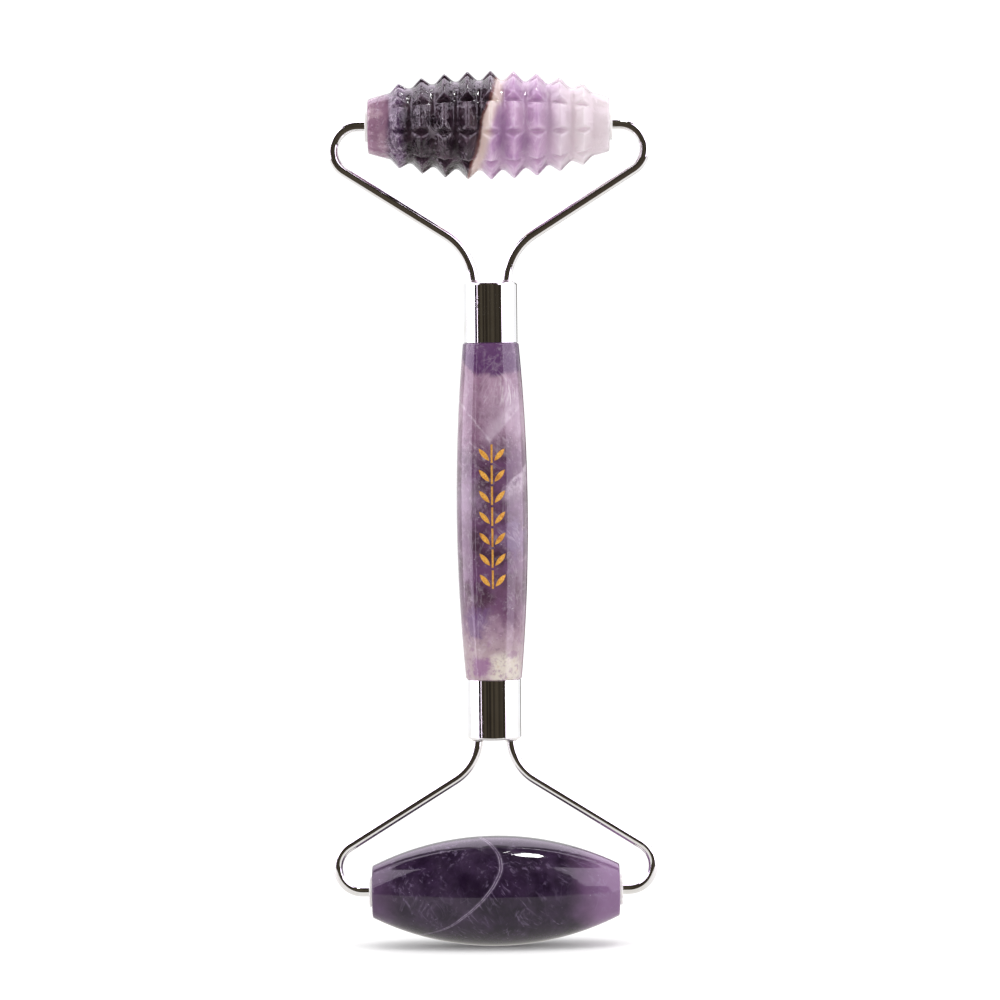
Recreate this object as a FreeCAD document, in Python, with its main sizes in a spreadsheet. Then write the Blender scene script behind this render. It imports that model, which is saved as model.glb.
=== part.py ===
import FreeCAD, Part
import math
import os
import Sketcher
from FreeCAD import Placement, Rotation, Vector

# Double-ended face roller: a turned stone handle with a chrome ferrule glued on each end, two bent
# wire arms brazed into each ferrule, and a stone roller spinning on the wire pins at each end.
# The top roller is cut into rings of small teeth, and the bottom roller is a smooth barrel.
# Millimetres. The origin is the middle of the handle, +Z runs up the handle to the textured
# roller, +X lies along the roller axles and the engraved front of the handle faces -Y.

doc = FreeCAD.newDocument("FaceRoller")

# ---- driving dimensions ---------------------------------------------------------------------

DIMENSIONS = [
    # handle, turned from one rod of stone
    ("HandleHalf", 27.75, "middle of the handle to its shoulder"),
    ("HandleMiddleRadius", 5.9, "radius at the middle of the handle's barrel"),
    ("HandleEndRadius", 4.62, "radius at the handle's shoulder"),
    ("HandleEdgeRound", 0.25, "polished edge of the handle's shoulder"),
    ("TenonRadius", 3.6, "spigot ground on each end of the handle"),
    ("TenonLength", 5.8, "length of that spigot"),
    # engraved sprig on the handle's front
    ("EngravingDepth", 0.30, "depth of the engraving below the stone's surface"),
    ("InlayRecess", 0.08, "how far the gold fill stays below the stone's surface"),
    ("SprigStart", -12.6, "height of the lowest leaf pair's root"),
    ("SprigPitch", 3.45, "distance from one leaf pair to the next"),
    ("SprigPairs", 7, "number of leaf pairs"),
    ("StemHalfWidth", 0.17, "half the width of a stem piece"),
    ("StemLength", 3.05, "length of a stem piece"),
    ("LeafRootAside", 0.42, "leaf root to the stem's middle"),
    ("LeafRootRise", 0.35, "leaf root above the pair's foot"),
    ("LeafTipAside", 2.15, "leaf tip to the stem's middle"),
    ("LeafTipRise", 2.35, "leaf tip above the pair's foot"),
    ("LeafArcRadius", 2.3, "radius of a leaf's two sides"),
    # ferrules
    ("FerruleRadius", 4.45, "outside radius of a ferrule"),
    ("FerruleLength", 10.0, "length of a ferrule"),
    ("FerruleEdgeRound", 0.45, "rounded outer edge of a ferrule's closed end"),
    ("FerruleMouthChamfer", 0.12, "chamfer at a ferrule's open end"),
    ("SocketRadius", 3.7, "bore of a ferrule, with room for the adhesive"),
    ("SocketDepth", 6.0, "depth of that bore"),
    # wire arms
    ("WireRadius", 0.825, "radius of the arm wire"),
    ("LegSpread", 2.75, "wire axis to handle axis at the top of the braze collar"),
    ("LegRootSpread", 2.51, "wire axis to handle axis at the wire's end in the ferrule"),
    ("LegDepth", 3.0, "how deep the wire sits in the ferrule"),
    ("DrillClearance", 0.2, "how far the drilled hole runs on past the wire's end"),
    ("TopNeckRadius", 9.6, "bend of the top wire just outside the ferrule"),
    ("BottomNeckRadius", 8.2, "the same for the bottom wire"),
    ("ShoulderRadius", 4.05, "bend of the wire round to the axle"),
    ("TopShoulderReach", 25.7, "handle axis to the outermost point of the top wire's axis"),
    ("BottomShoulderReach", 26.1, "the same for the bottom wire"),
    ("TopAxleHeight", 63.66, "middle of the handle to the top axle"),
    ("BottomAxleHeight", 63.0, "middle of the handle to the bottom axle"),
    ("PinTip", 15.0, "handle axis to the tip of an axle pin"),
    ("PinChamfer", 0.2, "chamfer on the tip of an axle pin"),
    # braze that holds each wire in its ferrule
    ("BrazeGap", 0.075, "film of braze round the wire in its hole"),
    ("BrazeCollarRadius", 1.18, "foot of the braze collar on the ferrule's face"),
    ("BrazeCollarHeight", 0.42, "height of the braze collar up the wire"),
    ("BrazeCollarLip", 0.86, "radius of the collar's thin top edge"),
    ("BrazeFootSink", 0.3, "how far the collar's foot is drawn below the face"),
    # textured roller
    ("TexturedHalf", 19.9, "half the length of the textured roller"),
    ("RootCrown", 7.45, "radius of the valleys at the middle of the roller"),
    ("RootArc", 67.5, "lengthwise arc that the valleys lie on"),
    ("LipCrown", 7.62, "radius of the teeth's feet at the middle of the roller"),
    ("TipCrown", 9.1, "radius of the tooth ridges at the middle of the roller"),
    ("TipArc", 53.6, "lengthwise arc that the ridges lie on"),
    ("RingShift", 0.4, "middle ring to the roller's middle"),
    ("RingPitch", 3.8, "distance from one ring of teeth to the next"),
    ("ToothFoot", 1.4, "half the width of a tooth at its foot"),
    ("RidgeRound", 0.16, "worn radius along a tooth's ridge"),
    ("FluteLift", 0.1, "flute floor above the valleys, so that flutes cut only the teeth"),
    ("FluteFloorHalf", 0.12, "half the flat floor of a flute between teeth"),
    ("FluteTopHalf", 1.75, "half the width of a flute's cutter at its top"),
    ("FluteCutHeight", 3.0, "height of that cutter"),
    ("FluteSweep", 40.0, "degrees of arc that the cutter sweeps"),
    ("FluteCount", 9, "flutes round the roller, so also teeth in a ring"),
    ("TexturedPhase", 20.0, "degrees that the roller is turned at rest"),
    ("TexturedEndRound", 0.2, "polished edge of the textured roller's ends"),
    # smooth roller
    ("SmoothHalf", 20.5, "half the length of the smooth roller"),
    ("SmoothCrown", 9.13, "radius at the middle of the smooth roller"),
    ("SmoothEndRadius", 4.28, "radius at the ends of the smooth roller"),
    ("SmoothEndRound", 0.45, "polished edge of the smooth roller's ends"),
    # flanged bushes pressed in both ends of each roller
    ("BushRadius", 1.6, "outside of a bush and bore of the stone"),
    ("BushLength", 6.0, "length of a bush inside the stone"),
    ("BushBore", 0.875, "bore of a bush, a running fit on the wire"),
    ("FlangeRadius", 2.55, "radius of a bush's flange"),
    ("FlangeThickness", 0.5, "thickness of a bush's flange"),
    ("FlangeRound", 0.12, "edge of a bush's flange"),
    ("BoreDepth", 7.0, "depth of the hole drilled in each end of a roller"),
]

sizes = doc.addObject("Spreadsheet::Sheet", "Sizes")
for row, (alias, value, meaning) in enumerate(DIMENSIONS, start=1):
    sizes.set(f"A{row}", meaning)
    sizes.set(f"B{row}", str(value))
    sizes.setAlias(f"B{row}", alias)
doc.recompute()


def total_of(terms):
    """Add up aliases, as in '- HandleHalf + TenonLength'; 'Zero' stands for nothing."""
    total = 0.0
    sign = 1.0
    for word in terms.split():
        if word in ("+", "-"):
            sign = 1.0 if word == "+" else -1.0
        elif word != "Zero":
            total += sign * float(getattr(sizes, word))
    return total


def sheet_formula(terms):
    """The same sum as an expression that reads the sheet."""
    words = [word if word in ("+", "-") else f"Sizes.{word}" for word in terms.split()]
    return " ".join(words)


def place_point(sketch, point, x_terms, y_terms):
    """Fix one sketch point by its two coordinates; each is driven by the sheet."""
    geometry, end = point
    for kind, axis, terms in (("DistanceX", -2, x_terms), ("DistanceY", -1, y_terms)):
        if terms == "Zero":
            sketch.addConstraint(Sketcher.Constraint("PointOnObject", geometry, end, axis))
        else:
            drive(sketch, (kind, -1, 1, geometry, end, total_of(terms)), sheet_formula(terms))


def drive(sketch, constraint, formula):
    """Add a dimension to a sketch and bind it to the sheet."""
    number = sketch.addConstraint(Sketcher.Constraint(*constraint))
    name = f"{constraint[0]}_{number}"
    sketch.renameConstraint(number, name)
    sketch.setExpression(f"Constraints.{name}", formula)


def new_body(name):
    body = doc.addObject("PartDesign::Body", name)
    body.Label = name
    return body


def origin_part(body, role):
    """One of the body's own origin planes or axes."""
    return next(part for part in body.Origin.OriginFeatures if part.Role == role)


def new_sketch(body, name, plane):
    sketch = body.newObject("Sketcher::SketchObject", f"{body.Name}_{name}")
    sketch.AttachmentSupport = [(origin_part(body, plane), "")]
    sketch.MapMode = "FlatFace"
    return sketch


def draw_outline(sketch, corners, bulges=None):
    """Draw a closed outline through the corners; bulges maps a side to a point on its arc."""
    bulges = bulges or {}
    first = sketch.GeometryCount
    points = [Vector(total_of(x), total_of(y), 0) for x, y in corners]
    count = len(points)
    for side, start in enumerate(points):
        finish = points[(side + 1) % count]
        if side in bulges:
            crown = Vector(total_of(bulges[side][0]), total_of(bulges[side][1]), 0)
            sketch.addGeometry(Part.Arc(start, crown, finish), False)
        else:
            sketch.addGeometry(Part.LineSegment(start, finish), False)
    heads = []
    tails = []
    for side, start in enumerate(points):
        geometry = first + side
        forward = sketch.getPoint(geometry, 1).distanceToPoint(start) < 1e-6
        heads.append((geometry, 1 if forward else 2))
        tails.append((geometry, 2 if forward else 1))
    for side, (x_terms, y_terms) in enumerate(corners):
        sketch.addConstraint(Sketcher.Constraint("Coincident", *tails[side - 1], *heads[side]))
        place_point(sketch, heads[side], x_terms, y_terms)
    for side, (x_terms, y_terms) in bulges.items():
        crown = sketch.addGeometry(Part.Point(Vector(total_of(x_terms), total_of(y_terms), 0)), True)
        sketch.addConstraint(Sketcher.Constraint("PointOnObject", crown, 1, first + side))
        place_point(sketch, (crown, 1), x_terms, y_terms)


def revolve(body, sketch, axis, name="turned"):
    """Turn a half section about the sketch's H_Axis or V_Axis."""
    turned = body.newObject("PartDesign::Revolution", f"{body.Name}_{name}")
    turned.Profile = sketch
    turned.ReferenceAxis = (sketch, [axis])
    turned.Angle = 360.0
    doc.recompute()
    return turned


def circle_edges(feature, reach, radius):
    """Names of the circular edges of that radius; reach picks the edge by its centre."""
    names = []
    for number, edge in enumerate(feature.Shape.Edges, start=1):
        curve = edge.Curve
        if isinstance(curve, Part.Circle) and abs(curve.Radius - radius) < 1e-4 and reach(curve.Center):
            names.append(f"Edge{number}")
    return names


def soften(body, kind, edges, size_name):
    """Add a Fillet or Chamfer of a sheet size on some edges of the body's tip."""
    base = body.Tip
    feature = body.newObject(f"PartDesign::{kind}", f"{body.Name}_{kind.lower()}_{size_name}")
    feature.Base = (base, edges)
    feature.setExpression("Radius" if kind == "Fillet" else "Size", f"Sizes.{size_name}")
    doc.recompute()
    return feature


# ---- handle and its gold-filled engraving ----------------------------------------------------

FRONT_PRISM_LENGTH = 12.0


def turned_handle(name, inset=None):
    """The handle's barrel with its two spigots, or just the barrel made smaller by the inset."""
    body = new_body(name)
    sketch = new_sketch(body, "section", "XZ_Plane")
    shrink = f" - {inset}" if inset else ""
    corners = [
        ("Zero", "- HandleHalf"),
        (f"HandleEndRadius{shrink}", "- HandleHalf"),
        (f"HandleEndRadius{shrink}", "HandleHalf"),
        ("Zero", "HandleHalf"),
    ]
    barrel_side = 1
    if not inset:
        corners = [
            ("Zero", "- HandleHalf - TenonLength"),
            ("TenonRadius", "- HandleHalf - TenonLength"),
            ("TenonRadius", "- HandleHalf"),
            ("HandleEndRadius", "- HandleHalf"),
            ("HandleEndRadius", "HandleHalf"),
            ("TenonRadius", "HandleHalf"),
            ("TenonRadius", "HandleHalf + TenonLength"),
            ("Zero", "HandleHalf + TenonLength"),
        ]
        barrel_side = 3
    draw_outline(sketch, corners, {barrel_side: (f"HandleMiddleRadius{shrink}", "Zero")})
    barrel = revolve(body, sketch, "V_Axis")
    if not inset:
        shoulders = circle_edges(barrel, lambda centre: True, sizes.HandleEndRadius)
        soften(body, "Fillet", shoulders, "HandleEdgeRound")
    return body


def draw_leaf(sketch, side):
    """A leaf with two arc sides; side is '' for the right leaf and '- ' for the left one."""
    root = Vector(total_of(f"{side}LeafRootAside"), total_of("SprigStart + LeafRootRise"), 0)
    tip = Vector(total_of(f"{side}LeafTipAside"), total_of("SprigStart + LeafTipRise"), 0)
    chord = tip - root
    across = Vector(-chord.y, chord.x, 0).normalize()
    radius = float(sizes.LeafArcRadius)
    belly = radius - math.sqrt(radius ** 2 - chord.Length ** 2 / 4)
    arcs = []
    for direction in (1, -1):
        middle = (root + tip) / 2 + across * belly * direction
        arcs.append(sketch.addGeometry(Part.Arc(root, middle, tip), False))
    for arc in arcs:
        drive(sketch, ("Radius", arc, radius), "Sizes.LeafArcRadius")
    ends = []
    for arc in arcs:
        starts_at_root = sketch.getPoint(arc, 1).distanceToPoint(root) < 1e-6
        ends.append((1, 2) if starts_at_root else (2, 1))
    for place in (0, 1):
        sketch.addConstraint(
            Sketcher.Constraint("Coincident", arcs[0], ends[0][place], arcs[1], ends[1][place]))
    place_point(sketch, (arcs[0], ends[0][0]), f"{side}LeafRootAside", "SprigStart + LeafRootRise")
    place_point(sketch, (arcs[0], ends[0][1]), f"{side}LeafTipAside", "SprigStart + LeafTipRise")


def sprig_prism():
    """One stem piece with a leaf on each side, pushed forward and repeated up the handle."""
    body = new_body("sprig_prism")
    sketch = new_sketch(body, "leaf_pair", "XZ_Plane")
    draw_outline(sketch, [
        ("- StemHalfWidth", "SprigStart"),
        ("StemHalfWidth", "SprigStart"),
        ("StemHalfWidth", "SprigStart + StemLength"),
        ("- StemHalfWidth", "SprigStart + StemLength"),
    ])
    draw_leaf(sketch, "")
    draw_leaf(sketch, "- ")
    pad = body.newObject("PartDesign::Pad", "leaf_pair_pad")
    pad.Profile = sketch
    pad.Length = FRONT_PRISM_LENGTH
    doc.recompute()
    row = body.newObject("PartDesign::LinearPattern", "leaf_pairs")
    row.Originals = [pad]
    row.Direction = (origin_part(body, "Z_Axis"), [""])
    row.Mode = "Spacing"
    row.setExpression("Offset", "Sizes.SprigPitch")
    row.setExpression("Occurrences", "Sizes.SprigPairs")
    body.Tip = row
    doc.recompute()
    return body


def boolean(kind, name, base, tool):
    result = doc.addObject(f"Part::{kind}", name)
    result.Label = name
    result.Base = base
    result.Tool = tool
    doc.recompute()
    return result


blank = turned_handle("handle_blank")
engraving_floor = turned_handle("engraving_floor", "EngravingDepth")
inlay_surface = turned_handle("inlay_surface", "InlayRecess")
sprig = sprig_prism()
engraving = boolean("Cut", "engraving", sprig, engraving_floor)
handle = boolean("Cut", "handle", blank, engraving)
sprig_in_stone = boolean("Common", "sprig_in_stone", inlay_surface, sprig)
ornament_inlay = boolean("Cut", "ornament_inlay", sprig_in_stone, engraving_floor)
kept = [handle, ornament_inlay]

# ---- ferrules, adhesive, wire arms and braze --------------------------------------------------

# Each end is drawn as the top right one and turned into its place.
TURNS = {
    ("top", "right"): Rotation(),
    ("top", "left"): Rotation(Vector(0, 0, 1), 180),
    ("bottom", "right"): Rotation(Vector(1, 0, 0), 180),
    ("bottom", "left"): Rotation(Vector(0, 1, 0), 180),
}
FERRULE_FACE = "HandleHalf + FerruleLength"
SOCKET_FLOOR = "HandleHalf + SocketDepth"
COLLAR_TOP = "HandleHalf + FerruleLength + BrazeCollarHeight"
HOLE_OVERRUN = 1.5


def leg_placement(mirror=1):
    """Local +Z along a wire's leg, with the local origin where the leg passes the ferrule's face."""
    root = Vector(sizes.LegRootSpread, 0, total_of(FERRULE_FACE) - sizes.LegDepth)
    collar_top = Vector(sizes.LegSpread, 0, total_of(COLLAR_TOP))
    slope = collar_top - root
    foot = root + slope * (sizes.LegDepth / slope.z)
    for point in (foot, slope):
        point.x *= mirror
    return Placement(foot, Rotation(Vector(0, 0, 1), slope))


def leg_hole(name, mirror):
    """The drilled hole that takes one wire leg and its film of braze."""
    hole = doc.addObject("Part::Cylinder", name)
    hole.setExpression("Radius", "Sizes.WireRadius + Sizes.BrazeGap")
    hole.setExpression("Height", f"Sizes.LegDepth + Sizes.DrillClearance + {HOLE_OVERRUN}")
    start = Placement(Vector(0, 0, -sizes.LegDepth - sizes.DrillClearance), Rotation())
    hole.Placement = leg_placement(mirror).multiply(start)
    return hole


def ferrule(end):
    """A turned cap with a socket for the handle and two slanting holes for the wires."""
    body = new_body(f"{end}_ferrule_blank")
    sketch = new_sketch(body, "section", "XZ_Plane")
    draw_outline(sketch, [
        ("SocketRadius", "HandleHalf"),
        ("FerruleRadius", "HandleHalf"),
        ("FerruleRadius", FERRULE_FACE),
        ("Zero", FERRULE_FACE),
        ("Zero", SOCKET_FLOOR),
        ("SocketRadius", SOCKET_FLOOR),
    ])
    cap = revolve(body, sketch, "V_Axis")
    face = total_of(FERRULE_FACE)
    outer_edge = circle_edges(cap, lambda centre: abs(centre.z - face) < 1e-4, sizes.FerruleRadius)
    soften(body, "Fillet", outer_edge, "FerruleEdgeRound")
    mouth = circle_edges(
        body.Tip, lambda centre: abs(centre.z - sizes.HandleHalf) < 1e-4, sizes.FerruleRadius)
    soften(body, "Chamfer", mouth, "FerruleMouthChamfer")
    holes = doc.addObject("Part::MultiFuse", f"{end}_wire_holes")
    holes.Shapes = [leg_hole(f"{end}_right_hole", 1), leg_hole(f"{end}_left_hole", -1)]
    result = boolean("Cut", f"{end}_ferrule", body, holes)
    result.Placement = Placement(Vector(), TURNS[(end, "right")])
    doc.recompute()
    return result


def ferrule_adhesive(end):
    """The cup of epoxy between the handle's spigot and the ferrule."""
    body = new_body(f"{end}_ferrule_adhesive")
    sketch = new_sketch(body, "section", "XZ_Plane")
    tenon_end = "HandleHalf + TenonLength"
    draw_outline(sketch, [
        ("TenonRadius", "HandleHalf"),
        ("SocketRadius", "HandleHalf"),
        ("SocketRadius", SOCKET_FLOOR),
        ("Zero", SOCKET_FLOOR),
        ("Zero", tenon_end),
        ("TenonRadius", tenon_end),
    ])
    revolve(body, sketch, "V_Axis")
    body.Placement = Placement(Vector(), TURNS[(end, "right")])
    return body


def wire_corners(reach, height, neck_radius):
    """The wire's root, the end of its leg, the ends of its straight run and its bends' centres."""
    root = Vector(sizes.LegRootSpread, total_of(FERRULE_FACE) - sizes.LegDepth, 0)
    leg_end = Vector(sizes.LegSpread, total_of(COLLAR_TOP), 0)
    leg = (leg_end - root).normalize()
    neck = leg_end + Vector(leg.y, -leg.x, 0) * neck_radius
    shoulder = Vector(reach - sizes.ShoulderRadius, height - sizes.ShoulderRadius, 0)
    between = shoulder - neck
    lean = math.atan2(between.x, between.y)
    lean += math.asin((neck_radius + sizes.ShoulderRadius) / between.Length)
    left_of_run = Vector(-math.cos(lean), math.sin(lean), 0)
    run_start = neck + left_of_run * neck_radius
    run_end = shoulder - left_of_run * sizes.ShoulderRadius
    return root, leg_end, neck, run_start, run_end, shoulder


def short_arc(centre, start, finish):
    """The arc about a centre from start to finish by way of the point between them."""
    radius = (start - centre).Length
    middle = centre + ((start - centre).normalize() + (finish - centre).normalize()).normalize() * radius
    return Part.Arc(start, middle, finish)


def wire_arm(end, side):
    """One length of wire: leg in the ferrule, neck bend, straight run, shoulder bend, axle pin."""
    reach_name = f"{end.capitalize()}ShoulderReach"
    height_name = f"{end.capitalize()}AxleHeight"
    neck_name = f"{end.capitalize()}NeckRadius"
    body = new_body(f"{end}_{side}_arm")
    path = new_sketch(body, "path", "XZ_Plane")
    reach = getattr(sizes, reach_name)
    height = getattr(sizes, height_name)
    neck_radius = getattr(sizes, neck_name)
    root, leg_end, neck, run_start, run_end, shoulder = wire_corners(reach, height, neck_radius)
    pin_start = Vector(shoulder.x, height, 0)
    pin_tip = Vector(sizes.PinTip, height, 0)
    leg = path.addGeometry(Part.LineSegment(root, leg_end), False)
    neck_bend = path.addGeometry(short_arc(neck, leg_end, run_start), False)
    run = path.addGeometry(Part.LineSegment(run_start, run_end), False)
    middle = shoulder + Vector(sizes.ShoulderRadius, 0, 0)
    shoulder_bend = path.addGeometry(Part.Arc(run_end, middle, pin_start), False)
    pin = path.addGeometry(Part.LineSegment(pin_start, pin_tip), False)
    joins = [(leg, leg_end, neck_bend), (neck_bend, run_start, run), (run, run_end, shoulder_bend),
             (shoulder_bend, pin_start, pin)]
    for before, place, after in joins:
        ends = []
        for geometry in (before, after):
            at_start = path.getPoint(geometry, 1).distanceToPoint(place) < 1e-5
            ends.append((geometry, 1 if at_start else 2))
        path.addConstraint(Sketcher.Constraint("Tangent", *ends[0], *ends[1]))
    place_point(path, (leg, 1), "LegRootSpread", f"{FERRULE_FACE} - LegDepth")
    place_point(path, (leg, 2), "LegSpread", COLLAR_TOP)
    drive(path, ("Radius", neck_bend, neck_radius), f"Sizes.{neck_name}")
    drive(path, ("Radius", shoulder_bend, sizes.ShoulderRadius), "Sizes.ShoulderRadius")
    drive(path, ("DistanceX", -1, 1, shoulder_bend, 3, shoulder.x),
          f"Sizes.{reach_name} - Sizes.ShoulderRadius")
    path.addConstraint(Sketcher.Constraint("Horizontal", pin))
    place_point(path, (pin, 2), "PinTip", height_name)

    section = new_sketch(body, "section", "YZ_Plane")
    section.AttachmentOffset = Placement(Vector(0, 0, sizes.PinTip), Rotation())
    section.setExpression("AttachmentOffset.Base.z", "Sizes.PinTip")
    round_wire = section.addGeometry(
        Part.Circle(Vector(0, height, 0), Vector(0, 0, 1), sizes.WireRadius), False)
    drive(section, ("Radius", round_wire, sizes.WireRadius), "Sizes.WireRadius")
    place_point(section, (round_wire, 3), "Zero", height_name)
    wire = body.newObject("PartDesign::AdditivePipe", f"{body.Name}_wire")
    wire.Profile = section
    wire.Spine = path
    doc.recompute()
    at_tip = circle_edges(wire, lambda centre: abs(centre.x - sizes.PinTip) < 1e-3, sizes.WireRadius)
    soften(body, "Chamfer", at_tip, "PinChamfer")
    body.Placement = Placement(Vector(), TURNS[(end, side)])
    return body


def braze(end, side, ferrule_cap):
    """The film of braze in the hole and the small collar that it leaves on the ferrule's face."""
    body = new_body(f"{end}_{side}_braze_blank")
    sketch = new_sketch(body, "section", "XZ_Plane")
    film = "WireRadius + BrazeGap"
    draw_outline(sketch, [
        ("WireRadius", "- LegDepth"),
        (film, "- LegDepth"),
        (film, "- BrazeFootSink"),
        ("BrazeCollarRadius", "- BrazeFootSink"),
        ("BrazeCollarRadius", "Zero"),
        ("BrazeCollarLip", "BrazeCollarHeight"),
        ("WireRadius", "BrazeCollarHeight"),
    ])
    revolve(body, sketch, "V_Axis")
    body.Placement = Placement(Vector(), TURNS[(end, side)]).multiply(leg_placement())
    return boolean("Cut", f"{end}_{side}_braze", body, ferrule_cap)


for end in ("top", "bottom"):
    cap = ferrule(end)
    kept += [cap, ferrule_adhesive(end)]
    for side in ("left", "right"):
        kept += [wire_arm(end, side), braze(end, side, cap)]

# ---- rollers and their bushes -----------------------------------------------------------------


def bored_ends(half):
    """The section of the two blind holes, from the right end's face round to the left one's."""
    return [
        ("BushRadius", f"{half}"),
        ("BushRadius", f"{half} - BoreDepth"),
        ("Zero", f"{half} - BoreDepth"),
        ("Zero", f"- {half} + BoreDepth"),
        ("BushRadius", f"- {half} + BoreDepth"),
        ("BushRadius", f"- {half}"),
    ]


def smooth_roller():
    """A plain barrel of stone with a blind hole in each end."""
    body = new_body("smooth_roller")
    sketch = new_sketch(body, "section", "XZ_Plane")
    holes = [(along, radius) for radius, along in bored_ends("SmoothHalf")]
    corners = [("- SmoothHalf", "SmoothEndRadius"), ("SmoothHalf", "SmoothEndRadius")] + holes
    draw_outline(sketch, corners, {0: ("Zero", "SmoothCrown")})
    barrel = revolve(body, sketch, "H_Axis")
    rims = circle_edges(barrel, lambda centre: True, sizes.SmoothEndRadius)
    soften(body, "Fillet", rims, "SmoothEndRound")
    body.setExpression("Placement.Base.z", "-Sizes.BottomAxleHeight")
    return body


RINGS = range(-4, 5)


def arc_height(crown, arc, along):
    """Radius of the roller where a lengthwise arc of that crown passes a place along its axis."""
    return crown - arc + math.sqrt(arc ** 2 - along ** 2)


def guide_arc(sketch, crown_name, arc_name):
    """A construction arc over the roller, which carries the ridges, feet or valleys."""
    crown = float(getattr(sizes, crown_name))
    arc = float(getattr(sizes, arc_name))
    half = float(sizes.TexturedHalf)
    ends = [Vector(along, arc_height(crown, arc, along), 0) for along in (-half, half)]
    guide = sketch.addGeometry(Part.Arc(ends[0], Vector(0, crown, 0), ends[1]), True)
    drive(sketch, ("Radius", guide, arc), f"Sizes.{arc_name}")
    sketch.addConstraint(Sketcher.Constraint("PointOnObject", guide, 3, -2))
    drive(sketch, ("DistanceY", -1, 1, guide, 3, crown - arc), f"Sizes.{crown_name} - Sizes.{arc_name}")
    for end in (1, 2):
        place = "TexturedHalf" if sketch.getPoint(guide, end).x > 0 else "- TexturedHalf"
        drive(sketch, ("DistanceX", -1, 1, guide, end, total_of(place)), sheet_formula(place))
    return guide


def textured_section(sketch):
    """Half section of the ringed roller: each ring is a ridge, with a rounded valley between rings."""
    guides = {
        "root": guide_arc(sketch, "RootCrown", "RootArc"),
        "lip": guide_arc(sketch, "LipCrown", "RootArc"),
        "tip": guide_arc(sketch, "TipCrown", "TipArc"),
    }
    heights = {
        "root": lambda along: arc_height(sizes.RootCrown, sizes.RootArc, along),
        "lip": lambda along: arc_height(sizes.LipCrown, sizes.RootArc, along),
        "tip": lambda along: arc_height(sizes.TipCrown, sizes.TipArc, along),
    }
    shift = float(sizes.RingShift)
    pitch = float(sizes.RingPitch)
    foot = float(sizes.ToothFoot)

    # Every corner is a guide, a place along the axis and that place written for the sheet.
    corners = [("root", -float(sizes.TexturedHalf), "- Sizes.TexturedHalf")]
    valleys = {}
    for ring in RINGS:
        centre = f"Sizes.RingShift + {ring} * Sizes.RingPitch"
        along = shift + ring * pitch
        left_guide = "root" if ring == RINGS[0] else "lip"
        right_guide = "root" if ring == RINGS[-1] else "lip"
        corners.append((left_guide, along - foot, f"{centre} - Sizes.ToothFoot"))
        corners.append(("tip", along, centre))
        corners.append((right_guide, along + foot, f"{centre} + Sizes.ToothFoot"))
        if ring != RINGS[-1]:
            valleys[len(corners) - 1] = (along + pitch / 2, f"{centre} + Sizes.RingPitch / 2")
    corners.append(("root", float(sizes.TexturedHalf), "Sizes.TexturedHalf"))
    points = [Vector(along, heights[guide](along), 0) for guide, along, formula in corners]

    # The two plain ends follow the root arc; the valleys are arcs that touch it half-way.
    half_end = {0: (corners[0][1] + corners[1][1]) / 2,
                len(corners) - 2: (corners[-2][1] + corners[-1][1]) / 2}
    sides = []
    for number in range(len(points) - 1):
        start, finish = points[number], points[number + 1]
        if number in valleys or number in half_end:
            along = valleys[number][0] if number in valleys else half_end[number]
            middle = Vector(along, heights["root"](along), 0)
            sides.append(sketch.addGeometry(Part.Arc(start, middle, finish), False))
        else:
            sides.append(sketch.addGeometry(Part.LineSegment(start, finish), False))

    def end_at(side, place):
        return (side, 1) if sketch.getPoint(side, 1).distanceToPoint(place) < 1e-6 else (side, 2)

    for number, (guide, along, formula) in enumerate(corners):
        side = sides[min(number, len(sides) - 1)]
        corner = end_at(side, points[number])
        drive(sketch, ("DistanceX", -1, 1, *corner, along), formula)
        sketch.addConstraint(Sketcher.Constraint("PointOnObject", *corner, guides[guide]))
        if 0 < number < len(sides):
            before = end_at(sides[number - 1], points[number])
            sketch.addConstraint(Sketcher.Constraint("Coincident", *before, *corner))
    for number, (along, formula) in valleys.items():
        low = sketch.addGeometry(Part.Point(Vector(along, heights["root"](along), 0)), True)
        drive(sketch, ("DistanceX", -1, 1, low, 1, along), formula)
        sketch.addConstraint(Sketcher.Constraint("PointOnObject", low, 1, guides["root"]))
        sketch.addConstraint(Sketcher.Constraint("PointOnObject", low, 1, sides[number]))
    for number in half_end:
        drive(sketch, ("Radius", sides[number], sizes.RootArc), "Sizes.RootArc")

    # Ends and blind holes close the section.
    holes = [(along, radius) for radius, along in bored_ends("TexturedHalf")]
    places = [points[-1]] + [Vector(total_of(x), total_of(y), 0) for x, y in holes] + [points[0]]
    previous = end_at(sides[-1], points[-1])
    for number in range(len(places) - 1):
        line = sketch.addGeometry(Part.LineSegment(places[number], places[number + 1]), False)
        sketch.addConstraint(Sketcher.Constraint("Coincident", *previous, line, 1))
        if number > 0:
            place_point(sketch, (line, 1), *holes[number - 1])
        previous = (line, 2)
    sketch.addConstraint(Sketcher.Constraint("Coincident", *previous, *end_at(sides[0], points[0])))


def flute_cutter(body):
    """The V section of one flute, swept along the root arc, and the axis that it swings about."""
    sketch = new_sketch(body, "flute", "YZ_Plane")
    draw_outline(sketch, [
        ("- FluteFloorHalf", "RootCrown + FluteLift"),
        ("FluteFloorHalf", "RootCrown + FluteLift"),
        ("FluteTopHalf", "RootCrown + FluteCutHeight"),
        ("- FluteTopHalf", "RootCrown + FluteCutHeight"),
    ])
    depth = total_of("RootCrown - RootArc")
    axis = sketch.addGeometry(Part.LineSegment(Vector(-1, depth, 0), Vector(1, depth, 0)), True)
    sketch.addConstraint(Sketcher.Constraint("Horizontal", axis))
    drive(sketch, ("DistanceY", -1, 1, axis, 1, depth), "Sizes.RootCrown - Sizes.RootArc")
    return sketch


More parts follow.
